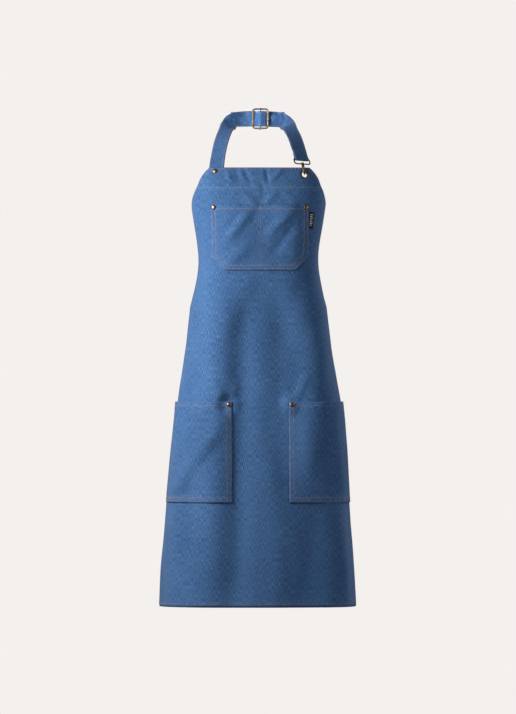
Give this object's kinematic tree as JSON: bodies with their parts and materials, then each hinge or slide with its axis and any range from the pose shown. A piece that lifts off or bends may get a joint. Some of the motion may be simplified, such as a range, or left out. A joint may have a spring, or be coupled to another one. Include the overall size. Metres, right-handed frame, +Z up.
{
  "type": "denim bib apron",
  "caption": "Denim bib apron in its worn shape, with bib and hand pockets, waist ties and a neck strap held by a slide adjuster and a swivel snap hook in an eyelet.",
  "frame": {"origin": "on the inner face of the neck strap, at the middle of the nape of the neck", "axes": "+Z up, the front of the apron faces -Y, the wearer's left is +X"},
  "size_m": [0.38, 0.2348, 0.9682],
  "materials": {
    "denim": "mid-blue slub denim, twill face",
    "denim_wrong_side": "paler wrong side of the denim",
    "antique_brass": "darkened and rubbed bright on its edges",
    "antique_copper": "darkened copper with a soft shine",
    "spring_steel": "plain wire",
    "label": "close satin weave"
  },
  "bodies": {
    "apron": {"front_panel": "denim", "bib_facing": "denim_wrong_side", "bib_pocket": "denim", "left_hand_pocket": "denim", "right_hand_pocket": "denim", "neck_strap": "denim", "hook_strap": "denim", "hook_strap_fold": "denim", "eyelet_front": "antique_brass", "eyelet_back": "antique_brass", "strap_rivet_cap": "antique_copper", "strap_rivet_post": "antique_copper", "bib_pocket_rivet_caps": "antique_copper", "bib_pocket_rivet_posts": "antique_copper", "hand_pocket_rivet_caps": "antique_copper", "hand_pocket_rivet_posts": "antique_copper", "woven_label": "label", "left_waist_tie": "denim", "right_waist_tie": "denim"},
    "adjuster": {"slider_bar": "antique_brass", "slider_bar_fold": "denim", "strap_hump": "denim"},
    "adjuster_frame": {"slider_frame": "antique_brass"},
    "wire_loop": {"hook_loop": "antique_brass"},
    "snap_hook": {"hook_body": "antique_brass", "gate_pin": "antique_brass", "gate_spring": "spring_steel"},
    "gate": {"hook_gate": "antique_brass"}
  },
  "joints": [
    {"name": "adjuster_slide", "type": "slide", "parent": "apron", "child": "adjuster", "axis": [1, 0, 0], "range_m": [-0.012, 0.008]},
    {"name": "frame_play", "type": "slide", "parent": "adjuster", "child": "adjuster_frame", "axis": [1, 0, 0], "range_m": [-0.002, 0.002]},
    {"name": "loop_rock", "type": "hinge", "parent": "apron", "child": "wire_loop", "pos_m": [0.08151, -0.10504, -0.08091], "axis": [0.8701, 0.49, -0.0523], "range_deg": [-1.2, 0.3]},
    {"name": "hook_swivel", "type": "hinge", "parent": "wire_loop", "child": "snap_hook", "pos_m": [0.08359, -0.10971, -0.09008], "axis": [-0.1632, 0.3244, 0.9317], "range_deg": [0, 30]},
    {"name": "gate_hinge", "type": "hinge", "parent": "snap_hook", "child": "gate", "pos_m": [0.0864, -0.10745, -0.10046], "axis": [-0.9607, 0.1627, -0.2249], "range_deg": [0, 25], "stiffness_Nm_per_rad": 0.004, "springref_deg": -20.05}
  ]
}
